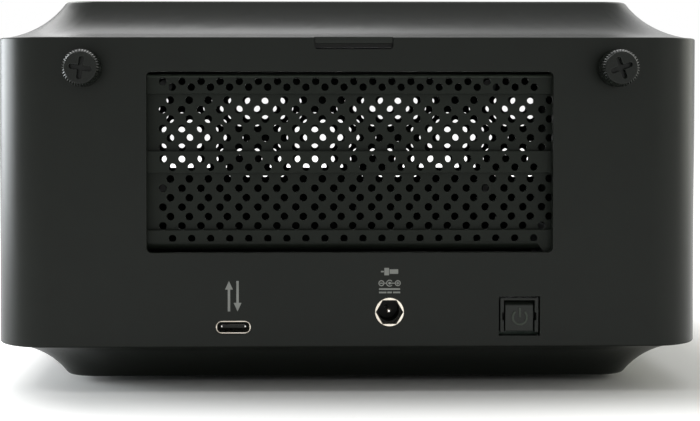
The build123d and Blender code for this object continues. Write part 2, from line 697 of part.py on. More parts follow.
with BuildPart() as power_button:
    button_face = REAR + BUTTON_DEPTH
    with BuildSketch(along(SWITCH_X)):
        with BuildLine():
            Polyline(
                (button_face, BUTTON_TOP - BUTTON_H),
                (button_face, BUTTON_TOP - BUTTON_SLOPE_H),
                (button_face + BUTTON_SLOPE_T, BUTTON_TOP),
                (button_face + BUTTON_T, BUTTON_TOP),
                (button_face + BUTTON_T, BUTTON_TOP - BUTTON_H),
                close=True,
            )
        make_face()
    extrude(amount=SWITCH_MOUTH_W / 2 - BUTTON_FIT, both=True)
    discs(across(BUTTON_DEPTH + BUTTON_T), stem_place, STEM_R, BUTTON_DEPTH + BUTTON_T - SWITCH_L - STEM_GRIP)
pieces["power_button"] = power_button

# Riser: a board that stands in a socket and carries the card slot
with BuildPart() as riser_socket:
    with BuildSketch(level(BOARD_TOP)):
        with Locations((RISER_X, REAR + SOCKET_DEPTH)):
            Rectangle(SOCKET_W, SOCKET_L, align=(Align.CENTER, Align.MIN))
    extrude(amount=SOCKET_H)
    with BuildSketch(level(SOCKET_TOP)):
        with Locations((RISER_X, REAR + SOCKET_DEPTH + SOCKET_END)):
            Rectangle(RISER_T + 2 * PORT_FIT, SOCKET_L - 2 * SOCKET_END, align=(Align.CENTER, Align.MIN))
    extrude(amount=SOCKET_FLOOR - SOCKET_H, mode=Mode.SUBTRACT)
pieces["riser_socket"] = riser_socket

with BuildPart() as riser_board:
    with BuildSketch(along(RISER_X)):
        with Locations((REAR + RISER_DEPTH, SOCKET_TOP)):
            Rectangle(RISER_L, RISER_H, align=(Align.MIN, Align.MIN))
        with Locations((REAR + SOCKET_DEPTH + SOCKET_END + PORT_FIT, SOCKET_TOP)):
            Rectangle(
                SOCKET_L - 2 * SOCKET_END - 2 * PORT_FIT,
                SOCKET_H - SOCKET_FLOOR,
                align=(Align.MIN, Align.MAX),
            )
    extrude(amount=RISER_T / 2, both=True)
pieces["riser_board"] = riser_board

with BuildPart() as card_slot:
    with BuildSketch(along(RISER_FACE)):
        with Locations((REAR + CARD_SLOT_DEPTH, CARD_SLOT_Z)):
            Rectangle(CARD_SLOT_L, CARD_SLOT_H, align=(Align.MIN, Align.CENTER))
    extrude(amount=CARD_SLOT_W)
    with BuildSketch(along(RISER_FACE + CARD_SLOT_W)):
        with Locations((REAR + CARD_SLOT_DEPTH + CARD_SLOT_END, CARD_SLOT_Z)):
            Rectangle(CARD_SLOT_FIRST, CARD_SLOT_MOUTH, align=(Align.MIN, Align.CENTER))
        with Locations((REAR + CARD_SLOT_DEPTH + CARD_SLOT_L - CARD_SLOT_END, CARD_SLOT_Z)):
            Rectangle(
                CARD_SLOT_L - 2 * CARD_SLOT_END - CARD_SLOT_FIRST - CARD_SLOT_KEY,
                CARD_SLOT_MOUTH,
                align=(Align.MAX, Align.CENTER),
            )
    extrude(amount=CARD_SLOT_FLOOR - CARD_SLOT_W, mode=Mode.SUBTRACT)
pieces["card_slot"] = card_slot

# Controller chip under a finned heat sink
with BuildPart() as controller_chip:
    with BuildSketch(level(BOARD_TOP)):
        with Locations((CHIP_X, REAR + CHIP_DEPTH)):
            Rectangle(CHIP_SIZE, CHIP_SIZE)
    extrude(amount=CHIP_T)
pieces["controller_chip"] = controller_chip

with BuildPart() as controller_sink:
    with BuildSketch(level(BOARD_TOP + CHIP_T)):
        with Locations((CHIP_X, REAR + CHIP_DEPTH)):
            Rectangle(SINK_SIZE, SINK_SIZE)
    extrude(amount=SINK_BASE)
    with BuildSketch(level(BOARD_TOP + CHIP_T + SINK_BASE)):
        with Locations((CHIP_X, REAR + CHIP_DEPTH)):
            with GridLocations((SINK_SIZE - SINK_FIN_T) / (SINK_FINS - 1), 0, SINK_FINS, 1):
                Rectangle(SINK_FIN_T, SINK_SIZE)
    extrude(amount=SINK_H - SINK_BASE)
pieces["controller_sink"] = controller_sink

# Power parts on the board
with BuildPart() as power_coils:
    with BuildSketch(level(BOARD_TOP)):
        with Locations((POWER_X, REAR + COIL_DEPTH)):
            with GridLocations(COIL_PITCH, 0, COILS, 1):
                Rectangle(COIL_SIZE, COIL_SIZE)
    extrude(amount=COIL_H)
    chamfer(power_coils.edges().filter_by(Axis.Z), COIL_EDGE)
pieces["power_coils"] = power_coils

with BuildPart() as capacitors:
    with BuildSketch(level(BOARD_TOP)):
        with Locations((POWER_X, REAR + CAN_DEPTH)):
            with GridLocations(CAN_PITCH, 0, CANS, 1):
                Circle(CAN_R)
    extrude(amount=CAN_H)
pieces["capacitors"] = capacitors

with BuildPart() as card_power_header:
    with BuildSketch(level(BOARD_TOP)):
        with Locations((HEADER_X, REAR + HEADER_DEPTH)):
            Rectangle(HEADER_W, HEADER_L)
    extrude(amount=HEADER_H)
    with BuildSketch(level(BOARD_TOP + HEADER_H)):
        with Locations((HEADER_X, REAR + HEADER_DEPTH)):
            Rectangle(HEADER_W - 2 * HEADER_WALL, HEADER_L - 2 * HEADER_WALL)
    extrude(amount=HEADER_FLOOR - HEADER_H, mode=Mode.SUBTRACT)
pieces["card_power_header"] = card_power_header

for node, piece in pieces.items():
    piece.part.label = node
    export_step(piece.part, f"parts/{node}.step")
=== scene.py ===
"""Looks of the external graphics card enclosure: finishes, round perforations, marks, studio and camera."""

import json
import math

import bmesh
import bpy
from mathutils import Matrix, Vector

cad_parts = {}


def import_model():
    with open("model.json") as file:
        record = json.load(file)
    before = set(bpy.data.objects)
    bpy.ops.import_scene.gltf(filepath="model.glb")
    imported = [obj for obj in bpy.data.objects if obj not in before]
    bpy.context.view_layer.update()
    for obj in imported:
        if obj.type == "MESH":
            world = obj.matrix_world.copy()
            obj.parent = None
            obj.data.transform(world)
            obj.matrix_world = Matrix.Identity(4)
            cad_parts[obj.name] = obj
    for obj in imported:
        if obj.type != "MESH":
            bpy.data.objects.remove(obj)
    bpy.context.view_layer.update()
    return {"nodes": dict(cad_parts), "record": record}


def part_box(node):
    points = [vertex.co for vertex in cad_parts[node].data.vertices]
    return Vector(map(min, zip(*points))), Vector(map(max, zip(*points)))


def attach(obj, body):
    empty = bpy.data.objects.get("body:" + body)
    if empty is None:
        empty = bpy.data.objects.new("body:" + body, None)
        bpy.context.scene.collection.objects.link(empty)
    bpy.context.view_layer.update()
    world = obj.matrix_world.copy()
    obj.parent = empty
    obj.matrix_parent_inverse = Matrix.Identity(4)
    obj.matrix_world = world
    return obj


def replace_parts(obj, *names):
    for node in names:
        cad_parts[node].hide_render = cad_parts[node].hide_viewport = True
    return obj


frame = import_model()

MM = 0.001
BODY = "enclosure"

# Camera: where it stands, in millimetres from the middle of the rear panel's foot, and how it is turned
LENS_MM = 82.29
SENSOR_MM = 36.0
EYE_X = -18.45
EYE_BACK = 408.0
EYE_Z = 74.15
YAW_DEG = 1.1
PITCH_DEG = 1.6
SHIFT_X = 0.059
SHIFT_Y = -0.0897

# Sheet metal, in millimetres. Heights of rib holes are from the middle of the rear window.
SLEEVE_EDGE = 0.2
SHEET = 1.0
SHEET_EDGE = 0.12
SLOT_W = 106.0
SLOT_H = 14.8
SLOT_PITCH = 20.32
WINDOW_H = 46.3
SLIT_TOP = 0.6
SLIT_BOTTOM = 0.5
FLANGE_L = 3.0
FLANGE_TOP_R = 0.9
FLANGE_FOOT_R = 2.2
FLANGE_LAP = 0.2
BEND_STEPS = 8
PAD_W = 4.6
HOLE_STEPS = 20
COVER_HOLE_R = 0.98
COVER_PITCH_X = 4.905
COVER_PITCH_Z = 2.44
COVER_SHIFT = 1.94
COVER_ROWS = 6
COVER_COLUMNS = 21
COVER_X = 1.84
COVER_DROP = 0.35
RIB_HOLE_R = 0.95
RIB_PITCH = 4.9
RIB_COLUMNS = 20
RIB_ROWS = ((20.73, -47.97), (19.25, -45.57), (0.86, -47.97), (-1.35, -45.57), (-19.7, -45.57))
GRILLE_HOLE_R = 1.25
GRILLE_PITCH_X = 6.17
GRILLE_PITCH_Z = 2.69
GRILLE_SHIFT = 3.085
GRILLE_ROWS = 11
GRILLE_COLUMNS = 25
GRILLE_X = -0.15
RAIL_W = 154.0
RAIL_H = 3.0
RAIL_DROP = 12.7

# Thumbscrews, in millimetres
THUMB_R = 4.75
THUMB_FACE_R = 4.05
THUMB_FACE_EDGE = 0.2
THUMB_CHAMFER = 0.5
THUMB_BEVEL = 0.85
THUMB_L = 8.0
THUMB_SHANK_R = 1.45
THUMB_SHANK_CHAMFER = 0.3
THUMB_WALL_IN = 0.02
THUMB_RIM_OUT = 0.03
THUMB_FACE_STEPS = 64
KNURLS = 40
KNURL_DEPTH = 0.34
KNURL_RIDGE = (0.0, 0.5, 1.0, 0.5)
CROSS_L = 5.7
CROSS_W = 1.15
CROSS_DEPTH = 1.8
CROSS_STEPS = 8
CROSS_TURNS = {"thumbscrew_left": -8.4, "thumbscrew_right": 20.0}

# Ports and switch, in millimetres
PORT_EDGE = 0.16
PORT_WALL = 0.4
PORT_MOUTH_R = 1.05
INLET_HEX_R = 3.5
INLET_SIDES = 6
INLET_STEPS = 72
INLET_EDGE = 0.09
CONTACTS = 12
CONTACT_PITCH = 0.5
CONTACT_W = 0.25
CONTACT_H = 0.06
CONTACT_L = 3.6
CONTACT_RISE = 0.36
CONTACT_INSET = 0.5
CONTACT_EDGE = 0.02
LATCH_X = 3.0
LATCH_W = 0.3
LATCH_H = 0.5
LATCH_L = 3.0
LATCH_STAND = 0.1
LATCH_EDGE = 0.1
SWITCH_EDGE = 0.14
SYMBOL_R = 2.08
SYMBOL_STROKE = 0.5
SYMBOL_GAP_DEG = 39.0
SYMBOL_BAR_H = 2.4
SYMBOL_BAR_RISE = 1.25
SYMBOL_RELIEF = 0.3
SYMBOL_EDGE = 0.06
SYMBOL_X = 0.14
SYMBOL_RISE = 3.55

# Printed marks, in millimetres
INK = 0.02
INK_EDGE = INK / 8
ARROW_X = 1.1
ARROW_L = 7.8
ARROW_HEAD_W = 2.0
ARROW_HEAD_L = 2.2
ARROW_SHAFT = 0.62
ARROW_RISE = 8.0
SUPPLY_W = 5.4
SUPPLY_STROKE = 0.42
SUPPLY_RISES = (5.93, 5.07)
SUPPLY_DASHES = ((-1.76, 1.9), (0.0, 1.18), (1.8, 1.85))
POLARITY_RISE = 7.45
POLARITY_PITCH = 2.1
POLARITY_R = 0.76
POLARITY_STROKE = 0.24
POLARITY_GAP_DEG = 38.0
POLARITY_SEAM_DEG = 0.5
POLARITY_HUB_R = 0.88
POLARITY_DOT_R = 0.34
POLARITY_DOT_STEPS = 24
POLARITY_LINKS = ((-1.05, 0.5), (0.85, 0.98))
PLUS_RISE = 0.28 * POLARITY_R
PLUS_ARM = 0.4 * POLARITY_R
PLUG_RISE = 10.43
PLUG_PIECES = ((-1.85, 0.75, 0.36), (-0.75, 1.2, 1.9), (1.1, 2.2, 1.15))

# Mesh clean-up: a sharp edge, a flat joint, and points that are one point, in millimetres
SHARP_ANGLE = math.radians(35)
FLAT_ANGLE = math.radians(2)
SAME_POINT = 0.001
EDGE_SEGMENTS = 2
NORMAL_WEIGHT = 100

# Finishes: range of noise that is drawn out, fine grain against broad, relief in metres, cast of the blacks
NOISE_RANGE = (0.3, 0.7)
BROAD_GRAIN = 20
RELIEF_DEPTH = 0.00003
BLACK_LOW = (0.9, 1.1, 0.87)
BLACK_HIGH = (1.0, 1.24, 0.97)

# Floor, in metres. Full shadow stays on a patch under the object, drifted away from the window light.
FLOOR_HALF = 6.0
FLOOR_COLOUR = (0.93, 0.93, 0.92)
FLOOR_ROUGHNESS = 0.9
FLOOR_SPECULAR = 0.1
FLOOR_GLOW = 0.78
SHADOW_HALF = (0.08, 0.091)
SHADOW_DRIFT = 0.02
SHADOW_REACH = (0.0, 0.055)

# Strength of the surround as the camera sees it, and as it lights the object
SURROUND_SEEN = 1.0
SURROUND_LIGHT = 0.24

# Lamps: name, place, target and size in metres, radiance, tint
WHITE = (1, 1, 1)
LAMPS = (
    ("top_box", (-0.1, 0.2, 1.2), (-0.1, 0.2, 0), (1.6, 1.4), 0.4, WHITE),
    ("spark", (-0.7, -0.2, 0.85), (0, -0.1, 0.08), (0.09, 0.09), 40.0, WHITE),
    ("back_box", (-0.42, 0.95, 1.1), (0, 0, 0.1), (1.05, 0.94), 3.7, WHITE),
    ("back_fill", (0.6, 1.0, 0.95), (0, 0, 0.1), (1.1, 0.95), 1.1, WHITE),
    ("left_window", (-1.24, 0.38, 0.2), (0, 0, 0.1), (1.1, 0.5), 14.5, (0.92, 0.97, 1.0)),
    ("right_wall", (1.25, 0.32, 0.5), (0, 0, 0.1), (1.1, 1.1), 2.2, (1.0, 1.0, 0.88)),
    ("right_fill", (0.95, -0.75, 0.45), (0, -0.1, 0.05), (0.8, 0.8), 0.6, (1.0, 1.0, 0.9)),
)

scene = bpy.context.scene
nodes = frame["nodes"]


def middle(node):
    """Middle of a CAD node at rest, in metres."""
    low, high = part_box(node)
    return (low + high) / 2


REAR_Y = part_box("outer_band")[0].y


# Materials


def material(name, colour, roughness, metallic=0.0, specular=0.5):
    """New material with its own shader socket values, its node tree and its shader."""
    made = bpy.data.materials.new(name)
    made.use_nodes = True
    tree = made.node_tree
    shader = tree.nodes["Principled BSDF"]
    shader.inputs["Base Color"].default_value = (*colour, 1)
    shader.inputs["Roughness"].default_value = roughness
    shader.inputs["Metallic"].default_value = metallic
    shader.inputs["Specular IOR Level"].default_value = specular
    return made, tree, shader


def noise(tree, scale, detail, stretch):
    """Noise fixed to the object, its scale in features for each metre."""
    place = tree.nodes.new("ShaderNodeTexCoord")
    mapping = tree.nodes.new("ShaderNodeMapping")
    mapping.inputs["Scale"].default_value = stretch
    made = tree.nodes.new("ShaderNodeTexNoise")
    made.inputs["Scale"].default_value = scale
    made.inputs["Detail"].default_value = detail
    tree.links.new(place.outputs["Object"], mapping.inputs["Vector"])
    tree.links.new(mapping.outputs["Vector"], made.inputs["Vector"])
    return made.outputs["Fac"]


def ramp(tree, fac, low, high):
    """Colours from low to high across the range of the noise."""
    made = tree.nodes.new("ShaderNodeValToRGB")
    for element, position, colour in zip(made.color_ramp.elements, NOISE_RANGE, (low, high)):
        element.position = position
        element.color = (*colour, 1)
    tree.links.new(fac, made.inputs["Fac"])
    return made.outputs["Color"]


def spread(tree, fac, low, high):
    """Values from low to high across the range of the noise."""
    made = tree.nodes.new("ShaderNodeMapRange")
    made.inputs["From Min"].default_value = NOISE_RANGE[0]
    made.inputs["From Max"].default_value = NOISE_RANGE[1]
    made.inputs["To Min"].default_value = low
    made.inputs["To Max"].default_value = high
    tree.links.new(fac, made.inputs["Value"])
    return made.outputs["Result"]


def bump(tree, shader, fac, strength):
    """Fine relief on the surface."""
    made = tree.nodes.new("ShaderNodeBump")
    made.inputs["Strength"].default_value = strength
    made.inputs["Distance"].default_value = RELIEF_DEPTH
    tree.links.new(fac, made.inputs["Height"])
    tree.links.new(made.outputs["Normal"], shader.inputs["Normal"])


def textured(name, low, high, rough, grain, relief, metallic=0.0, specular=0.5, stretch=(1, 1, 1)):
    """Surface whose colour and gloss wander a little, with a fine grain in relief."""
    made, tree, shader = material(name, low, rough[0], metallic, specular)
    broad = noise(tree, grain / BROAD_GRAIN, 2.0, stretch)
    fine = noise(tree, grain, 4.0, stretch)
    tree.links.new(ramp(tree, broad, low, high), shader.inputs["Base Color"])
    tree.links.new(spread(tree, fine, *rough), shader.inputs["Roughness"])
    bump(tree, shader, fine, relief)
    return made


def black(name, level, rough, grain, relief, specular=0.25):
    """Near-black finish with a faint green cast, from a grey level."""
    low = tuple(level * share for share in BLACK_LOW)
    high = tuple(level * share for share in BLACK_HIGH)
    return textured(name, low, high, rough, grain, relief, specular=specular)


MATERIALS = {
    "sleeve_black": black("sleeve_black", 0.010, (0.30, 0.36), 2600, 0.1, 0.165),
    "cover_black": black("cover_black", 0.011, (0.30, 0.36), 2600, 0.1, 0.2),
    "sheet_black": black("sheet_black", 0.015, (0.36, 0.44), 3200, 0.15, 0.12),
    "thumbscrew_black": black("thumbscrew_black", 0.009, (0.22, 0.3), 4000, 0.1, 0.2),
    "foot_rubber": black("foot_rubber", 0.016, (0.75, 0.85), 5000, 0.3),
    "tray_steel": textured("tray_steel", (0.4, 0.41, 0.42), (0.5, 0.51, 0.52), (0.35, 0.5), 900, 0.15,
                           metallic=1.0),
    "screw_steel": textured("screw_steel", (0.4, 0.4, 0.41), (0.5, 0.5, 0.5), (0.3, 0.4), 5000, 0.1,
                            metallic=1.0),
    "board_green": textured("board_green", (0.008, 0.03, 0.016), (0.012, 0.045, 0.022), (0.35, 0.5), 700,
                            0.2),
    "standoff_brass": textured("standoff_brass", (0.5, 0.36, 0.14), (0.6, 0.44, 0.2), (0.25, 0.4), 4000, 0.1,
                               metallic=1.0),
    "port_metal": textured("port_metal", (0.6, 0.55, 0.47), (0.7, 0.65, 0.57), (0.2, 0.3), 4000, 0.06,
                           metallic=1.0),
    "pin_metal": textured("pin_metal", (0.75, 0.74, 0.72), (0.85, 0.84, 0.82), (0.15, 0.25), 6000, 0.05,
                          metallic=1.0),
    "port_insulator": black("port_insulator", 0.006, (0.4, 0.5), 4000, 0.1),
    "switch_black": black("switch_black", 0.010, (0.36, 0.44), 4000, 0.12),
    "button_black": black("button_black", 0.012, (0.3, 0.38), 4000, 0.12),
    "socket_black": black("socket_black", 0.01, (0.35, 0.5), 3000, 0.1),
    "chip_black": black("chip_black", 0.015, (0.5, 0.6), 6000, 0.2),
    "sink_aluminium": textured("sink_aluminium", (0.3, 0.31, 0.32), (0.4, 0.41, 0.42), (0.35, 0.45), 1500,
                               0.1, metallic=1.0, stretch=(1, 0.05, 1)),
    "can_aluminium": textured("can_aluminium", (0.55, 0.55, 0.57), (0.65, 0.65, 0.67), (0.25, 0.35), 3000,
                              0.08, metallic=1.0),
    "coil_grey": textured("coil_grey", (0.05, 0.05, 0.05), (0.08, 0.08, 0.08), (0.6, 0.75), 5000, 0.3),
}
MARK_INK = textured("mark_ink", (0.36, 0.37, 0.35), (0.4, 0.41, 0.39), (0.5, 0.6), 5000, 0.1, specular=0.2)
# The bracket's rolled top bend is a paler, glossier black than the sheet: a painted highlight along its lit
# edge.
BEND_PAINTED_HIGHLIGHT = black("bend_painted_highlight", 0.05, (0.3, 0.4), 4000, 0.1, 0.5)
# The power symbol is a paler black than its button: a painted highlight on the raised relief.
SYMBOL_PAINTED_HIGHLIGHT = black("symbol_painted_highlight", 0.055, (0.35, 0.45), 5000, 0.1)

for part in frame["record"]["subparts"]:
    mesh = nodes[part["node"]].data
    mesh.materials.clear()
    mesh.materials.append(MATERIALS[part["material_slot"]])


# Mesh helpers


def place(name, mesh, slot, body=BODY, print_or_highlight=None):
    """A finished mesh as a piece of a body, in the finish of a slot, or in a material given in its place:
    print ink, or a paler black that is a painted highlight.
    """
    mesh.name = name
    mesh.materials.clear()
    mesh.materials.append(print_or_highlight or MATERIALS[slot])
    for face in mesh.polygons:
        face.use_smooth = True
        face.material_index = 0
    mesh.set_sharp_from_angle(angle=SHARP_ANGLE)
    piece = bpy.data.objects.new(name, mesh)
    scene.collection.objects.link(piece)
    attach(piece, body)
    return piece


def merge(meshes):
    """Several meshes as one."""
    joined = bmesh.new()
    for mesh in meshes:
        joined.from_mesh(mesh)
    made = bpy.data.meshes.new("joined")
    joined.to_mesh(made)
    joined.free()
    return made


def rectangle(x, z, width, height):
    """Corners of an upright rectangle round a middle."""
    return [(x - width / 2, z - height / 2), (x + width / 2, z - height / 2),
            (x + width / 2, z + height / 2), (x - width / 2, z + height / 2)]


def arc(x, z, radius, start_deg, end_deg, steps):
    """Points along an arc, both ends included."""
    turns = [math.radians(start_deg + (end_deg - start_deg) * step / steps) for step in range(steps + 1)]
    return [(x + radius * math.cos(turn), z + radius * math.sin(turn)) for turn in turns]


def circle(x, z, radius, steps=HOLE_STEPS):
    """Points round a circle."""
    return arc(x, z, radius, 0, 360, steps)[:-1]


def slot_line(x, z, width, height, steps=12):
    """Outline of a slot with round ends."""
    radius = height / 2
    reach = width / 2 - radius
    return arc(x + reach, z, radius, -90, 90, steps) + arc(x - reach, z, radius, 90, 270, steps)


def rounded(x, z, width, height, radius, steps=8):
    """Outline of a rectangle with round corners."""
    points = []
    for quarter, (side_x, side_z) in enumerate(((1, 1), (-1, 1), (-1, -1), (1, -1))):
        corner_x = x + side_x * (width / 2 - radius)
        corner_z = z + side_z * (height / 2 - radius)
        points += arc(corner_x, corner_z, radius, 90 * quarter, 90 * quarter + 90, steps)
    return points


def ring_line(x, z, radius, stroke, gap_deg, gap_at_deg, steps=28):
    """Outline of a ring with a gap."""
    start = gap_at_deg + gap_deg
    end = gap_at_deg + 360 - gap_deg
    return arc(x, z, radius, start, end, steps) + arc(x, z, radius - stroke, end, start, steps)


def sheet(loops, front_y, thickness, edge):
    """Upright sheet, from its rear face inwards: an outline and its holes in millimetres, edges softened."""
    curve = bpy.data.curves.new("sheet", "CURVE")
    curve.dimensions = "2D"
    curve.fill_mode = "BOTH"
    curve.extrude = (thickness / 2 - edge) * MM
    curve.bevel_depth = edge * MM
    curve.bevel_resolution = 1
    curve.offset = -edge * MM
    for number, loop in enumerate(loops):
        line = curve.splines.new("POLY")
        line.points.add(len(loop) - 1)
        for point, (x, z) in zip(line.points, loop if number == 0 else loop[::-1]):
            point.co = (x * MM, z * MM, 0, 1)
        line.use_cyclic_u = True
    shape = bpy.data.objects.new("sheet", curve)
    mesh = bpy.data.meshes.new_from_object(shape)
    bpy.data.objects.remove(shape)
    upright = Matrix.Rotation(math.radians(90), 4, "X")
    mesh.transform(Matrix.Translation((0, front_y + thickness / 2 * MM, 0)) @ upright)
    return mesh


def bar(profile, width):
    """Level bar along X, from a profile of depth and height in metres."""
    made = bmesh.new()
    ends = [[made.verts.new((side * width / 2 * MM, y, z)) for y, z in profile] for side in (-1, 1)]
    made.faces.new(ends[0])
    made.faces.new(ends[1][::-1])
    count = len(profile)
    for step in range(count):
        follow = (step + 1) % count
        made.faces.new((ends[0][step], ends[1][step], ends[1][follow], ends[0][follow]))
    bmesh.ops.recalc_face_normals(made, faces=made.faces)
    mesh = bpy.data.meshes.new("bar")
    made.to_mesh(mesh)
    made.free()
    return mesh


def lathe(x, z, profile, steps, ripple):
    """Turned form about an axis along Y, from rows of depth in metres, radius and share of the ripple."""
    made = bmesh.new()
    rows = []
    for y, radius, share in profile:
        row = []
        for step in range(steps):
            turn = 2 * math.pi * step / steps
            reach = (radius - share * ripple(step)) * MM
            row.append(made.verts.new((x + reach * math.cos(turn), y, z + reach * math.sin(turn))))
        rows.append(row)
    for near, far in zip(rows, rows[1:]):
        for step in range(steps):
            follow = (step + 1) % steps
            made.faces.new((near[step], near[follow], far[follow], far[step]))
    made.faces.new(rows[0])
    made.faces.new(rows[-1][::-1])
    bmesh.ops.recalc_face_normals(made, faces=made.faces)
    mesh = bpy.data.meshes.new("turned")
    made.to_mesh(mesh)
    made.free()
    return mesh


def softened(node, edge):
    """A copy of a node's mesh with its sharp edges rounded."""
    made = bmesh.new()
    made.from_mesh(nodes[node].data)
    bmesh.ops.remove_doubles(made, verts=made.verts, dist=SAME_POINT * MM)
    bmesh.ops.dissolve_limit(made, angle_limit=FLAT_ANGLE, verts=made.verts, edges=made.edges)
    hard = [line for line in made.edges if len(line.link_faces) == 2 and line.calc_face_angle() > SHARP_ANGLE]
    bmesh.ops.bevel(made, geom=hard, offset=edge * MM, segments=EDGE_SEGMENTS, profile=0.5,
                    affect="EDGES", clamp_overlap=True)
    mesh = bpy.data.meshes.new(node)
    made.to_mesh(mesh)
    made.free()
    return mesh


def rounded_copy(name, node, edge, slot, body=BODY):
    """A node with its sharp edges rounded and its flat faces still shaded flat."""
    piece = place(name, softened(node, edge), slot, body)
    even = piece.modifiers.new("even", "WEIGHTED_NORMAL")
    even.weight = NORMAL_WEIGHT
    even.keep_sharp = True
    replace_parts(piece, node)


def staggered(columns, rows, pitch_x, pitch_z, shift, centre):
    """Centres of a grid whose rows lie by turns right and left of the middle, a shift apart."""
    centres = []
    for row in range(rows):
        row_x = centre[0] + (shift / 2 if row % 2 == 0 else -shift / 2)
        for column in range(columns):
            x = row_x + (column - (columns - 1) / 2) * pitch_x
            centres.append((x, centre[1] + ((rows - 1) / 2 - row) * pitch_z))
    return centres


def node_rectangle(node):
    """A sheet node's outline seen from the rear, in millimetres."""
    low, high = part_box(node)
    size = (high - low) / MM
    centre = (high + low) / 2 / MM
    return rectangle(centre.x, centre.z, size.x, size.z)


# Slot covers, bracket and grille with round holes


def slot_cover(node):
    """Vented cover with its round holes."""
    centre = (COVER_X, middle(node).z / MM - COVER_DROP)
    holes = staggered(COVER_COLUMNS, COVER_ROWS, COVER_PITCH_X, COVER_PITCH_Z, COVER_SHIFT, centre)
    loops = [node_rectangle(node)] + [circle(x, z, COVER_HOLE_R) for x, z in holes]
    mesh = sheet(loops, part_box(node)[0].y, SHEET, SHEET_EDGE)
    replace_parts(place(node + "_vented", mesh, "sheet_black"), node)


def flange(front_y, edge_z, radius, way):
    """Edge of the bracket turned in, rounded at the bend: up for way 1 and down for way -1."""
    bend = [(front_y + (radius - depth) * MM, edge_z + way * (rise - radius) * MM)
            for depth, rise in arc(0, 0, radius, 0, 90, BEND_STEPS)]
    back = front_y + FLANGE_L * MM
    inner = edge_z - way * SHEET * MM
    return bar(bend + [(back, edge_z), (back, inner), (front_y + SHEET * MM, inner)], SLOT_W)


def rear_bracket():
    """Bracket: two slots, holes in its ribs, turned edges and the pads that the covers lie on."""
    node = "rear_bracket"
    window_z = middle(node).z / MM
    low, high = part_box(node)
    front_y = low.y
    outer_x, outer_z = high.x / MM, (high.z - low.z) / 2 / MM
    top = window_z + WINDOW_H / 2 - SLIT_TOP
    foot = window_z - WINDOW_H / 2 + SLIT_BOTTOM
    face_top = top - FLANGE_TOP_R + FLANGE_LAP
    face_foot = foot + FLANGE_FOOT_R - FLANGE_LAP
    ear = SLOT_W / 2
    outline = [(-outer_x, window_z - outer_z), (-ear, window_z - outer_z), (-ear, face_foot),
               (ear, face_foot), (ear, window_z - outer_z), (outer_x, window_z - outer_z)]
    outline += [(outer_x, window_z + outer_z), (ear, window_z + outer_z), (ear, face_top), (-ear, face_top),
                (-ear, window_z + outer_z), (-outer_x, window_z + outer_z)]
    heights = [window_z + side * SLOT_PITCH / 2 for side in (1, -1)]
    holes = [rectangle(0, z, SLOT_W - 2 * SHEET_EDGE, SLOT_H) for z in heights]
    for rise, first_x in RIB_ROWS:
        centres = [(first_x + column * RIB_PITCH, window_z + rise) for column in range(RIB_COLUMNS)]
        holes += [circle(x, z, RIB_HOLE_R) for x, z in centres]
    meshes = [sheet([outline] + holes, front_y, SHEET, SHEET_EDGE)]
    meshes.append(flange(front_y, foot * MM, FLANGE_FOOT_R, -1))
    for z in heights:
        for side in (-1, 1):
            pad = rectangle(side * (SLOT_W + PAD_W) / 2, z, PAD_W, SLOT_H)
            meshes.append(sheet([pad], front_y + SHEET * MM, SHEET, SHEET_EDGE))
    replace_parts(place(node + "_vented", merge(meshes), "sheet_black"), node)
    # The top bend is in the paler black: painted highlight along the rolled edge.
    place("rear_bracket_bend", flange(front_y, top * MM, FLANGE_TOP_R, 1), "sheet_black", print_or_highlight=BEND_PAINTED_HIGHLIGHT)


def front_grille():
    """Grille with its round holes and the rail inside it."""
    node = "front_grille"
    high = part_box(node)[1]
    centre_z = middle(node).z / MM
    holes = staggered(GRILLE_COLUMNS, GRILLE_ROWS, GRILLE_PITCH_X, GRILLE_PITCH_Z, GRILLE_SHIFT,
                      (GRILLE_X, centre_z))
    loops = [node_rectangle(node)] + [circle(x, z, GRILLE_HOLE_R) for x, z in holes]
    plate = sheet(loops, high.y - SHEET * MM, SHEET, SHEET_EDGE)
    rail_line = rectangle(0, centre_z - RAIL_DROP, RAIL_W, RAIL_H)
    rail = sheet([rail_line], high.y - 2 * SHEET * MM, SHEET, SHEET_EDGE)
    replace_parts(place(node + "_vented", merge([plate, rail]), "sheet_black"), node)


rounded_copy("outer_band_rounded", "outer_band", SLEEVE_EDGE, "sleeve_black")
slot_cover("slot_cover_upper")
slot_cover("slot_cover_lower")
rear_bracket()
front_grille()


# Thumbscrews


def cross_line(x, z, turn_deg):
    """Outline of a cross with round ends."""
    points = []
    for quarter in range(4):
        arm = arc((CROSS_L - CROSS_W) / 2, 0, CROSS_W / 2, -90, 90, CROSS_STEPS)
        arm.append((CROSS_W / 2, CROSS_W / 2))
        turn = math.radians(turn_deg + 90 * quarter)
        points += [(x + u * math.cos(turn) - v * math.sin(turn), z + u * math.sin(turn) + v * math.cos(turn))
                   for u, v in arm]
    return points


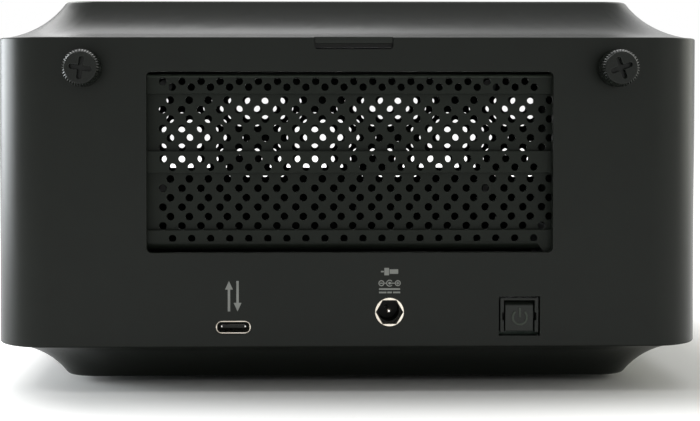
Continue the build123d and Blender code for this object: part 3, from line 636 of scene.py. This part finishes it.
def thumbscrew(node):
    """Knurled head with a cross in its face, on a plain shank."""
    low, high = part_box(node)
    centre = middle(node)
    face_wall = THUMB_FACE_R - THUMB_WALL_IN
    rim = THUMB_FACE_R + THUMB_RIM_OUT
    rows = [(CROSS_DEPTH, face_wall, 0), (THUMB_FACE_EDGE, face_wall, 0), (THUMB_FACE_EDGE, rim, 0),
            (THUMB_BEVEL, THUMB_R, 1), (THUMB_L - THUMB_CHAMFER, THUMB_R, 1),
            (THUMB_L, THUMB_R - THUMB_CHAMFER, 0), (THUMB_L, THUMB_SHANK_R, 0)]
    profile = [(low.y + depth * MM, radius, share) for depth, radius, share in rows]
    profile += [(high.y - THUMB_SHANK_CHAMFER * MM, THUMB_SHANK_R, 0),
                (high.y, THUMB_SHANK_R - THUMB_SHANK_CHAMFER, 0)]
    count = len(KNURL_RIDGE)
    head = lathe(centre.x, centre.z, profile, KNURLS * count,
                 lambda step: KNURL_DEPTH * KNURL_RIDGE[step % count])
    x, z = centre.x / MM, centre.z / MM
    loops = [circle(x, z, THUMB_FACE_R, THUMB_FACE_STEPS), cross_line(x, z, CROSS_TURNS[node])]
    face = sheet(loops, low.y, CROSS_DEPTH, THUMB_FACE_EDGE)
    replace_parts(place(node + "_knurled", merge([head, face]), "thumbscrew_black", node), node)


thumbscrew("thumbscrew_left")
thumbscrew("thumbscrew_right")


# Ports and switch


def data_port():
    """Steel mouth with a rounded lip, and the contacts and latches on its tongue."""
    node = "usb_c_shell"
    low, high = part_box(node)
    size = (high - low) / MM
    centre = middle(node) / MM
    loops = [slot_line(centre.x, centre.z, size.x, size.z),
             rounded(centre.x, centre.z, size.x - 2 * PORT_WALL, size.z - 2 * PORT_WALL, PORT_MOUTH_R)]
    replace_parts(place("data_port_mouth", sheet(loops, low.y, size.y, PORT_EDGE), "port_metal"), node)
    tongue_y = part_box("usb_c_tongue")[0].y
    strips = []
    for row in range(CONTACTS):
        x = centre.x + (row - (CONTACTS - 1) / 2) * CONTACT_PITCH
        for side in (-1, 1):
            strip = rectangle(x, centre.z + side * CONTACT_RISE, CONTACT_W, CONTACT_H)
            strips.append(sheet([strip], tongue_y + CONTACT_INSET * MM, CONTACT_L, CONTACT_EDGE))
    for side in (-1, 1):
        latch = rectangle(centre.x + side * LATCH_X, centre.z, LATCH_W, LATCH_H)
        strips.append(sheet([latch], tongue_y - LATCH_STAND * MM, LATCH_L, LATCH_EDGE))
    place("data_port_contacts", merge(strips), "pin_metal")


def power_inlet():
    """Plated ring with its six-sided mouth."""
    node = "inlet_sleeve"
    low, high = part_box(node)
    centre = middle(node) / MM
    radius = (high.x - low.x) / 2 / MM
    loops = [circle(centre.x, centre.z, radius, INLET_STEPS),
             circle(centre.x, centre.z, INLET_HEX_R, INLET_SIDES)]
    mesh = sheet(loops, low.y, (high.y - low.y) / MM, INLET_EDGE)
    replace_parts(place("power_inlet_ring", mesh, "port_metal"), node)


def power_switch():
    """Frame and button with rounded edges, and the raised power symbol on the button."""
    rounded_copy("switch_frame_rounded", "switch_frame", SWITCH_EDGE, "switch_black")
    node = "power_button"
    rounded_copy("button_cap", node, SWITCH_EDGE, "button_black", node)
    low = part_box(node)[0]
    x, z = middle(node).x / MM + SYMBOL_X, low.z / MM + SYMBOL_RISE
    front_y = low.y - SYMBOL_RELIEF * MM
    depth = 2 * SYMBOL_RELIEF
    ring = sheet([ring_line(x, z, SYMBOL_R, SYMBOL_STROKE, SYMBOL_GAP_DEG, 90)], front_y, depth, SYMBOL_EDGE)
    stem = sheet([slot_line(0, 0, SYMBOL_BAR_H, SYMBOL_STROKE)], 0, depth, SYMBOL_EDGE)
    upright = Matrix.Rotation(math.radians(90), 4, "Y")
    stem.transform(Matrix.Translation((x * MM, front_y, (z + SYMBOL_BAR_RISE) * MM)) @ upright)
    # The symbol is in the paler black: painted highlight on its relief.
    place("button_symbol", merge([ring, stem]), "button_black", node, SYMBOL_PAINTED_HIGHLIGHT)


data_port()
power_inlet()
power_switch()


# Printed marks on the rear panel


def mark(name, outlines):
    """Thin print on the rear panel."""
    print_y = REAR_Y - INK * MM / 2
    meshes = [sheet([outline], print_y, INK, INK_EDGE) for outline in outlines]
    place(name, merge(meshes), "sleeve_black", print_or_highlight=MARK_INK)


def arrow(x, z, way):
    """Outline of an upright arrow, up for way 1 and down for way -1."""
    half_l, neck = ARROW_L / 2, ARROW_L / 2 - ARROW_HEAD_L
    half_w, shaft = ARROW_HEAD_W / 2, ARROW_SHAFT / 2
    points = [(-shaft, -half_l), (shaft, -half_l), (shaft, neck), (half_w, neck), (0, half_l),
              (-half_w, neck), (-shaft, neck)]
    turned = [(x + u, z + way * v) for u, v in points]
    return turned[::way]


def data_mark():
    """Two opposed arrows over the data port."""
    centre = middle("usb_c_shell") / MM
    mark("data_mark", [arrow(centre.x + side * ARROW_X, centre.z + ARROW_RISE, -side) for side in (-1, 1)])


def supply_mark():
    """Direct current sign over the power inlet, a line above a broken line."""
    centre = middle("inlet_sleeve") / MM
    line_z, dash_z = [centre.z + rise for rise in SUPPLY_RISES]
    dashes = [rectangle(centre.x + x, dash_z, width, SUPPLY_STROKE) for x, width in SUPPLY_DASHES]
    mark("supply_mark", [rectangle(centre.x, line_z, SUPPLY_W, SUPPLY_STROKE)] + dashes)


def polarity_mark():
    """Polarity sign: minus at the plug's sleeve, plus at its core."""
    centre = middle("inlet_sleeve") / MM
    x, z = centre.x, centre.z + POLARITY_RISE
    plus_x = x + POLARITY_PITCH
    outlines = [circle(x, z, POLARITY_DOT_R, POLARITY_DOT_STEPS),
                ring_line(x, z, POLARITY_HUB_R, POLARITY_STROKE, POLARITY_GAP_DEG, 0)]
    for side in (-1, 1):
        sign_x = x + side * POLARITY_PITCH
        outlines.append(ring_line(sign_x, z, POLARITY_R, POLARITY_STROKE, POLARITY_SEAM_DEG, 90 + side * 90))
        outlines.append(rectangle(sign_x, z, POLARITY_R, POLARITY_STROKE))
    for side in (1, -1):
        outlines.append(rectangle(plus_x, z + side * PLUS_RISE, POLARITY_STROKE, PLUS_ARM))
    for link_x, width in POLARITY_LINKS:
        outlines.append(rectangle(x + link_x, z, width, POLARITY_STROKE))
    mark("polarity_mark", outlines)


def plug_mark():
    """Side view of a barrel plug over the power inlet: cable, grip and barrel."""
    centre = middle("inlet_sleeve") / MM
    z = centre.z + PLUG_RISE
    mark("plug_mark", [rectangle(centre.x + x, z, width, height) for x, width, height in PLUG_PIECES])


data_mark()
supply_mark()
polarity_mark()
plug_mark()


# Studio


def seen_ray(tree):
    """Whether a ray comes from the camera or from a reflection."""
    path = tree.nodes.new("ShaderNodeLightPath")
    seen = path.outputs["Is Camera Ray"]
    for ray in ("Is Glossy Ray", "Is Transmission Ray"):
        either = tree.nodes.new("ShaderNodeMath")
        either.operation = "MAXIMUM"
        tree.links.new(seen, either.inputs[0])
        tree.links.new(path.outputs[ray], either.inputs[1])
        seen = either.outputs[0]
    return seen


def floor():
    """Pale floor that takes the object's shadow near it and runs out into white."""
    mesh = bpy.data.meshes.new("floor")
    shape = bmesh.new()
    bmesh.ops.create_grid(shape, x_segments=1, y_segments=1, size=FLOOR_HALF)
    shape.to_mesh(mesh)
    shape.free()
    made, tree, shader = material("floor_white", FLOOR_COLOUR, FLOOR_ROUGHNESS, specular=FLOOR_SPECULAR)
    mesh.materials.append(made)
    spot = tree.nodes.new("ShaderNodeTexCoord")
    away = spot.outputs["Object"]
    zero = (0, 0, 0)
    steps = (("SUBTRACT", (SHADOW_DRIFT, 0, 0)), ("ABSOLUTE", zero), ("SUBTRACT", (*SHADOW_HALF, 1)),
             ("MAXIMUM", zero))
    for operation, limit in steps:
        step = tree.nodes.new("ShaderNodeVectorMath")
        step.operation = operation
        step.inputs[1].default_value = limit
        tree.links.new(away, step.inputs[0])
        away = step.outputs["Vector"]
    reach = tree.nodes.new("ShaderNodeVectorMath")
    reach.operation = "LENGTH"
    tree.links.new(away, reach.inputs[0])
    fade = tree.nodes.new("ShaderNodeMapRange")
    fade.interpolation_type = "SMOOTHSTEP"
    fade.inputs["From Min"].default_value = SHADOW_REACH[0]
    fade.inputs["From Max"].default_value = SHADOW_REACH[1]
    tree.links.new(reach.outputs["Value"], fade.inputs["Value"])
    fade.inputs["To Max"].default_value = FLOOR_GLOW
    share = tree.nodes.new("ShaderNodeMath")
    share.operation = "MULTIPLY"
    tree.links.new(fade.outputs["Result"], share.inputs[0])
    tree.links.new(seen_ray(tree), share.inputs[1])
    white = tree.nodes.new("ShaderNodeEmission")
    white.inputs["Color"].default_value = (*WHITE, 1)
    tree.links.new(share.outputs[0], white.inputs["Strength"])
    both = tree.nodes.new("ShaderNodeAddShader")
    tree.links.new(shader.outputs["BSDF"], both.inputs[0])
    tree.links.new(white.outputs["Emission"], both.inputs[1])
    tree.links.new(both.outputs["Shader"], tree.nodes["Material Output"].inputs["Surface"])
    ground = bpy.data.objects.new("floor", mesh)
    scene.collection.objects.link(ground)


def soft_box(name, stand, target, size, radiance, tint):
    """Soft box of a given brightness, aimed at a point."""
    lamp = bpy.data.lights.new(name, "AREA")
    lamp.color = tint
    lamp.shape = "RECTANGLE"
    lamp.size, lamp.size_y = size
    lamp.energy = radiance * math.pi * size[0] * size[1]
    made = bpy.data.objects.new(name, lamp)
    made.location = stand
    made.rotation_euler = (Vector(target) - Vector(stand)).to_track_quat("-Z", "Y").to_euler()
    scene.collection.objects.link(made)


def world():
    """White surround that the camera and reflections see, and a softer light on the object."""
    made = bpy.data.worlds.new("studio")
    made.use_nodes = True
    scene.world = made
    tree = made.node_tree
    back = tree.nodes["Background"]
    back.inputs["Color"].default_value = (*WHITE, 1)
    strength = tree.nodes.new("ShaderNodeMapRange")
    strength.inputs["To Min"].default_value = SURROUND_LIGHT
    strength.inputs["To Max"].default_value = SURROUND_SEEN
    tree.links.new(seen_ray(tree), strength.inputs["Value"])
    tree.links.new(strength.outputs["Result"], back.inputs["Strength"])


def camera():
    """The photograph's viewpoint, a little left of the middle and below the lid's edge."""
    lens = bpy.data.cameras.new("camera")
    lens.lens = LENS_MM
    lens.sensor_width = SENSOR_MM
    lens.sensor_fit = "HORIZONTAL"
    lens.shift_x = SHIFT_X
    lens.shift_y = SHIFT_Y
    made = bpy.data.objects.new("camera", lens)
    made.location = (EYE_X * MM, REAR_Y - EYE_BACK * MM, EYE_Z * MM)
    made.rotation_euler = (math.radians(90 - PITCH_DEG), 0, math.radians(-YAW_DEG))
    scene.collection.objects.link(made)
    scene.camera = made


floor()
world()
camera()
for lamp in LAMPS:
    soft_box(*lamp)

scene.view_settings.view_transform = "Standard"
